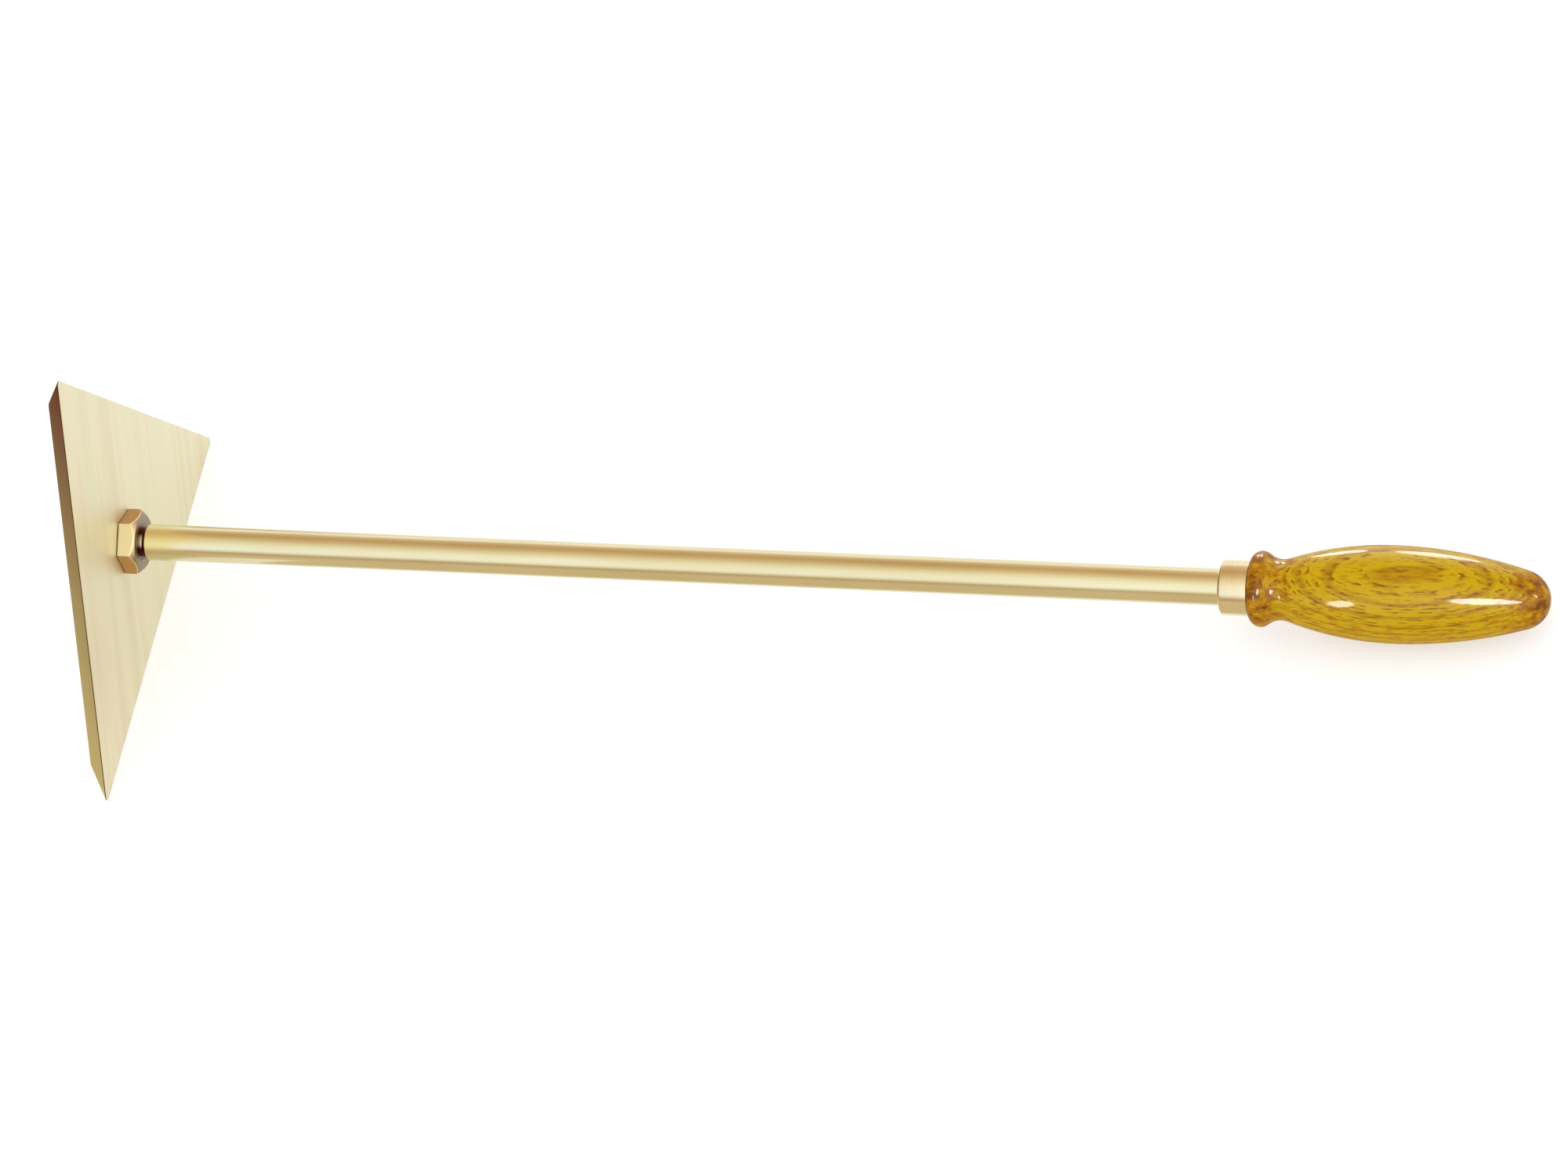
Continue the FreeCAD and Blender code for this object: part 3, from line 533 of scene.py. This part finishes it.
# Drawn bronze, polished: bright pale gold, whose reflections are drawn out into bands along the bar. The
# die's lines are 0.1 mm apart, and are drawn 1.2 mm apart so that they show.
tree, metal = begin_finish(rod, "drawn_bronze_bar", {"Metallic": 1.0})
place = node(tree, "ShaderNodeTexCoord").outputs["Object"]
drawn = node(tree, "ShaderNodeMapping", {"Vector": place, "Scale": (1 / 0.09, 1 / 0.0012, 1 / 0.0012)})
lines = node(tree, "ShaderNodeTexNoise", {"Vector": drawn.outputs[0], "Scale": 1.0, "Detail": 3.0})
long_cloud = node(tree, "ShaderNodeMapping", {"Vector": place, "Scale": (1 / 0.06, 1 / 0.008, 1 / 0.008)})
cloud = node(tree, "ShaderNodeTexNoise", {"Vector": long_cloud.outputs[0], "Scale": 1.0, "Detail": 2.0})
tint = node(tree, "ShaderNodeValToRGB", {"Fac": cloud.outputs["Fac"]}, stops=[
    (0.35, linear("#dad2aa")), (0.65, linear("#dfd9b4"))])
# Painted shade darkens the groove, from the nut on, but is mostly left off its upper side, where the bar's
# highlight runs up to the nut.
along_bar = node(tree, "ShaderNodeSeparateXYZ", {0: place})
in_groove = node(tree, "ShaderNodeMapRange", {"Value": along_bar.outputs["X"],
                                              "From Min": (groove_end + 1.0) * MM,
                                              "From Max": (groove_end + 0.1) * MM})
from_nut = node(tree, "ShaderNodeMapRange", {"Value": along_bar.outputs["X"], "From Min": nut_start * MM,
                                             "From Max": (nut_start + 1.0) * MM})
groove_shade_mask = node(tree, "ShaderNodeMath", {0: in_groove.outputs[0], 1: from_nut.outputs[0]},
               operation="MULTIPLY")
square = node(tree, "ShaderNodeNewGeometry").outputs["Normal"]
upward = node(tree, "ShaderNodeVectorMath", {0: square, 1: upper_way}, operation="DOT_PRODUCT")
upper_side_unshaded = node(tree, "ShaderNodeMapRange", {"Value": upward.outputs["Value"], "From Min": 0.86,
                                          "From Max": 0.97, "To Min": 1.0, "To Max": 0.2})
painted_groove_shade = node(tree, "ShaderNodeMath", {0: groove_shade_mask.outputs[0], 1: upper_side_unshaded.outputs[0]}, operation="MULTIPLY")
finish = node(tree, "ShaderNodeMix", {0: painted_groove_shade.outputs[0], 6: tint.outputs[0], 7: linear("#5a2826")},
              data_type="RGBA")
gloss = node(tree, "ShaderNodeMapRange", {"Value": lines.outputs["Fac"], "To Min": 0.14, "To Max": 0.26})
ridges = node(tree, "ShaderNodeBump", {"Height": lines.outputs["Fac"], "Strength": 0.10,
                                       "Distance": 0.0002})
tree.links.new(finish.outputs[2], metal.inputs["Base Color"])
tree.links.new(gloss.outputs[0], metal.inputs["Roughness"])
tree.links.new(ridges.outputs[0], metal.inputs["Normal"])

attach(rod, "root")
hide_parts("rod")


# ---------------------------------------------------------------------------------------------------------
# Ferrule. A short brass cup, turned from bar, pressed over the handle's tenon so that the wood can't split.
# The bar passes through the hole in its end wall.
# ---------------------------------------------------------------------------------------------------------
ferrule_radius, ferrule_wall, ferrule_end, ferrule_rim, ferrule_hole = 10.5, 1.4, 1.6, 1.2, 7.1
ferrule_inside = ferrule_radius - ferrule_wall
cup_floor = ferrule_start + ferrule_end

# The cup's section, outside and then inside, with the radius of each corner.
cup = rounded([
    (ferrule_start, ferrule_hole), (ferrule_start, ferrule_radius), (handle_start, ferrule_radius),
    (handle_start, ferrule_inside), (cup_floor, ferrule_inside), (cup_floor, ferrule_hole)],
    [0.15, ferrule_rim, 0.2, 0.1, 0.3, 0.1], steps=9)
ferrule = skin("ferrule_cup", carried_round(all_round(cup), angle), loop=True)

# Brass, turned and polished: yellow and mirror-like, with a faint banding round it. Turning marks are
# 0.2 mm apart, and are drawn 0.5 mm apart so that they show.
tree, metal = begin_finish(ferrule, "turned_brass", {"Metallic": 1.0})
place = node(tree, "ShaderNodeTexCoord").outputs["Object"]
lathe_lie = node(tree, "ShaderNodeMapping", {"Vector": place, "Scale": (1 / 0.0005, 1 / 0.01, 1 / 0.01)})
marks = node(tree, "ShaderNodeTexNoise", {"Vector": lathe_lie.outputs[0], "Scale": 1.0, "Detail": 2.0})
tint = node(tree, "ShaderNodeValToRGB", {"Fac": marks.outputs["Fac"]}, stops=[
    (0.35, linear("#e0d4ac")), (0.65, linear("#e6dcb8"))])
gloss = node(tree, "ShaderNodeMapRange", {"Value": marks.outputs["Fac"], "To Min": 0.08, "To Max": 0.20})
tree.links.new(tint.outputs[0], metal.inputs["Base Color"])
tree.links.new(gloss.outputs[0], metal.inputs["Roughness"])

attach(ferrule, "root")
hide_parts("ferrule")


# ---------------------------------------------------------------------------------------------------------
# Handle. Turned hardwood, flat-sawn so that its rings lie nearly level, with a bead behind the ferrule, a
# narrow neck and a long belly. It is dipped in clear varnish that has darkened the end grain.
# ---------------------------------------------------------------------------------------------------------
def arc_between(centre, radius, first, last, steps):
    """Points on a circle, from the direction of one point to that of another.

    Each is the centre plus the radius times the unit vector at one of a row of evenly spaced angles.
    """
    angles = [math.atan2(*(np.asarray(point) - centre)[::-1]) for point in (first, last)]
    return centre + radius * heading(np.linspace(*angles, steps))


tenon_radius, tenon_room, bore_radius, bore_room = 9.0, 0.2, 4.6, 0.2
bead_stand, bead_round = 3.8, 4.2
neck_radius, neck_place = 11.5, 12.0
belly_radius, back_sweep = 18.4, 175.0
handle_length = handle_high.x / MM - handle_start

# Five arcs, each tangent to the next: bead, hollow neck, front and back of the belly, butt. The hollow's
# radius follows from touching the bead, the front's from touching the hollow, and the butt's from the back.
bead_at = np.array([bead_round, ferrule_radius + bead_stand - bead_round])
run, rise = neck_place - bead_round, neck_radius - bead_at[1]
cove = (run ** 2 + rise ** 2 - bead_round ** 2) / (2 * (bead_round - rise))
cove_at = np.array([neck_place, neck_radius + cove])
run, rise = belly_place - neck_place, neck_radius + cove - belly_radius
front_sweep = (run ** 2 + rise ** 2 - cove ** 2) / (2 * (cove - rise))
front_at = np.array([belly_place, belly_radius - front_sweep])
back_at = np.array([belly_place, belly_radius - back_sweep])
run, drop = handle_length - belly_place, back_sweep - belly_radius
butt = (back_sweep ** 2 - drop ** 2 - run ** 2) / (2 * (back_sweep - run))
butt_at = np.array([handle_length - butt, 0.0])

bead_cove = bead_at + (cove_at - bead_at) * bead_round / (bead_round + cove)
cove_front = cove_at + (front_at - cove_at) * cove / (cove + front_sweep)
back_butt = back_at + (butt_at - back_at) * back_sweep / (back_sweep - butt)
belly_top = (belly_place, belly_radius)
tenon_length = handle_start - cup_floor - tenon_room
bore_depth = tang_length + bore_room - tenon_length
# The bore for the tang, the tenon and the flat behind the ferrule, with the radius of each corner.
tenon = rounded([(bore_depth, bore_radius), (-tenon_length, bore_radius), (-tenon_length, tenon_radius),
                 (0, tenon_radius), (0, bead_at[1])], [0, 0.1, 0.5, 0.1, 0])
profile = np.concatenate([
    tenon,
    arc_between(bead_at, bead_round, (0, bead_at[1]), bead_cove, 26)[1:],
    arc_between(cove_at, cove, bead_cove, cove_front, 16)[1:],
    arc_between(front_at, front_sweep, cove_front, belly_top, 40)[1:],
    arc_between(back_at, back_sweep, belly_top, back_butt, 50)[1:],
    arc_between(butt_at, butt, back_butt, (handle_length, 0), 22)[1:-1]])
handle = skin("turned_handle", carried_round(all_round(profile + (handle_start, 0)), angle),
              poles=((handle_start + bore_depth, 0, 0), (handle_high.x / MM, 0, 0)))

# Beech under amber varnish: honey yellow with darker dashes where the rings are cut, and a clear wet gloss
# whose highlights are small and sharp. Its own wood hardly shines, so the coat alone gives the gloss.
tree, varnish = begin_finish(handle, "varnished_beech", {
    "Roughness": 0.5, "Specular IOR Level": 0.05, "Coat Weight": 0.15, "Coat Roughness": 0.07,
    "Coat IOR": 1.5})
place = node(tree, "ShaderNodeTexCoord").outputs["Object"]
# Millimetres from the ferrule's end. The rings' common centre, the pith, lies 50 mm below the axis. Along
# the grain the rings' waves are four times as long as they are deep.
lie = node(tree, "ShaderNodeMapping", {"Vector": place, "Scale": (1000, 1000, 1000),
                                       "Location": (-handle_start, 0, 0)})
pith = node(tree, "ShaderNodeMapping", {"Vector": lie.outputs[0], "Location": (0, -7.4, 49.5),
                                        "Rotation": (0, math.radians(-1.6), 0)})
grain = node(tree, "ShaderNodeMapping", {"Vector": pith.outputs[0], "Scale": (0.25, 1, 1)})
year, slow_years = 0.85, 3.2
rings = node(tree, "ShaderNodeTexWave", {
    "Vector": grain.outputs[0], "Scale": math.pi / (10 * year), "Distortion": 5.0, "Detail": 3.0,
    "Detail Scale": 0.8, "Detail Roughness": 0.6, "Phase Offset": 2.0},
    wave_type="RINGS", rings_direction="X", wave_profile="SAW")
bands = node(tree, "ShaderNodeTexWave", {
    "Vector": grain.outputs[0], "Scale": math.pi / (10 * slow_years), "Distortion": 4.0, "Detail": 3.0,
    "Detail Scale": 1.0, "Detail Roughness": 0.6, "Phase Offset": 3.6},
    wave_type="RINGS", rings_direction="X", wave_profile="SIN")
# Each ring's dark line is broken into dashes, 6 mm long and 1.4 mm deep.
patch_lie = node(tree, "ShaderNodeMapping", {"Vector": lie.outputs[0], "Scale": (1 / 6, 1 / 1.4, 1 / 1.4)})
patches = node(tree, "ShaderNodeTexNoise", {"Vector": patch_lie.outputs[0], "Scale": 1.0, "Detail": 3.0})
line = node(tree, "ShaderNodeMapRange", {"Value": rings.outputs["Fac"], "From Min": 0.35, "From Max": 0.95})
shown = node(tree, "ShaderNodeMapRange", {"Value": patches.outputs["Fac"], "From Min": 0.47,
                                          "From Max": 0.62})
dashes = node(tree, "ShaderNodeMath", {0: line.outputs[0], 1: shown.outputs[0]}, operation="MULTIPLY")
honey = node(tree, "ShaderNodeMix", {0: dashes.outputs[0], 6: linear("#bf9a00"), 7: linear("#784400")},
             data_type="RGBA")
# Every few years the wood is darker, which draws the long ovals on the belly.
dark_year = node(tree, "ShaderNodeMapRange", {"Value": bands.outputs["Fac"], "From Min": 0.60,
                                              "To Max": 0.9})
dark_shown = node(tree, "ShaderNodeMath", {0: dark_year.outputs[0], 1: patches.outputs["Fac"]},
                  operation="MULTIPLY")
banded = node(tree, "ShaderNodeMix", {0: dark_shown.outputs[0], 6: honey.outputs[2], 7: linear("#8a4a00")},
              data_type="RGBA")
# The flecks are the rays that beech is known by, 4 mm long and 0.7 mm deep.
ray_lie = node(tree, "ShaderNodeMapping", {"Vector": lie.outputs[0], "Scale": (1 / 4.0, 1 / 0.7, 1 / 0.7)})
rays = node(tree, "ShaderNodeTexNoise", {"Vector": ray_lie.outputs[0], "Scale": 1.0, "Detail": 2.0})
flecks = node(tree, "ShaderNodeMapRange", {"Value": rays.outputs["Fac"], "From Min": 0.58, "From Max": 0.72,
                                           "To Max": 0.55})
flecked = node(tree, "ShaderNodeMix", {0: flecks.outputs[0], 6: banded.outputs[2], 7: linear("#8a5000")},
               data_type="RGBA")
# The end grain of the bead and the butt has soaked up varnish in blotches, amber and then brown.
cloud_lie = node(tree, "ShaderNodeMapping", {"Vector": lie.outputs[0], "Scale": (1 / 4.5, 1 / 3, 1 / 3)})
clouds = node(tree, "ShaderNodeTexNoise", {"Vector": cloud_lie.outputs[0], "Scale": 1.0, "Detail": 4.0,
                                           "Roughness": 0.6})
split = node(tree, "ShaderNodeSeparateXYZ", {0: lie.outputs[0]})
front_end = node(tree, "ShaderNodeMapRange", {"Value": split.outputs["X"], "From Min": 26.0,
                                              "From Max": 4.0})
butt_end = node(tree, "ShaderNodeMapRange", {"Value": split.outputs["X"], "From Min": 88.0,
                                             "From Max": 108.0})
ends = node(tree, "ShaderNodeMath", {0: front_end.outputs[0], 1: butt_end.outputs[0]}, operation="MAXIMUM")
blotch = node(tree, "ShaderNodeMath", {0: ends.outputs[0], 1: 0.35, 2: clouds.outputs["Fac"]},
              operation="MULTIPLY_ADD")
soaked = node(tree, "ShaderNodeMapRange", {"Value": blotch.outputs[0], "From Min": 0.66, "From Max": 0.84,
                                           "To Max": 0.9})
amber = node(tree, "ShaderNodeMix", {0: soaked.outputs[0], 6: flecked.outputs[2], 7: linear("#a06200")},
             data_type="RGBA")
stain = node(tree, "ShaderNodeMapRange", {"Value": blotch.outputs[0], "From Min": 0.82, "From Max": 0.96,
                                          "To Max": 0.9})
stained = node(tree, "ShaderNodeMix", {0: stain.outputs[0], 6: amber.outputs[2], 7: linear("#6c3a00")},
               data_type="RGBA")
# A narrow dark greenish line is painted on the wood along its joint with the ferrule.
seam = node(tree, "ShaderNodeMapRange", {"Value": split.outputs["X"], "From Min": 0.9, "From Max": 0.2})
finish = node(tree, "ShaderNodeMix", {0: seam.outputs[0], 6: stained.outputs[2], 7: linear("#1e2a10")},
              data_type="RGBA")
tree.links.new(finish.outputs[2], varnish.inputs["Base Color"])
lamp_lit.objects.link(handle)

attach(handle, "root")
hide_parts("handle")


# ---------------------------------------------------------------------------------------------------------
# Handle pin. A pin of the ferrule's brass, driven up through ferrule, tenon and tang from below, with its
# head filed to the ferrule's curve.
# ---------------------------------------------------------------------------------------------------------
pin_low, pin_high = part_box("handle_pin")
pin_radius, pin_middle = (pin_high.x - pin_low.x) / 2 / MM, (pin_high.x + pin_low.x) / 2 / MM
pin_top = pin_high.z / MM
pin_rounds, head_stand, head_edge, pin_chamfer = 48, 0.04, 0.1, 0.2

# Rings out from the head's middle, then down the side and in over the far end's chamfer.
angle = np.linspace(0, 2 * math.pi, pin_rounds, endpoint=False)
head_rings = np.linspace(0.15, 1, 9) * (pin_radius - head_edge)
out = np.concatenate([head_rings, [pin_radius, pin_radius, pin_radius - pin_chamfer]])[:, None]
side = out * np.sin(angle)
# The head lies on a cylinder about the bar's axis: its height is minus the root of radius and side squared.
height = -np.sqrt((ferrule_radius + head_stand) ** 2 - side ** 2)
height[-3] += head_edge
height[-2:] = [[pin_top - pin_chamfer], [pin_top]]
pin_grid = np.dstack([pin_middle + out * np.cos(angle), side, height])
pin = skin("handle_rivet", pin_grid,
           poles=((pin_middle, 0, -ferrule_radius - head_stand), (pin_middle, 0, pin_top)))
pin.data.materials.append(ferrule.data.materials[0])

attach(pin, "root")
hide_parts("handle_pin")
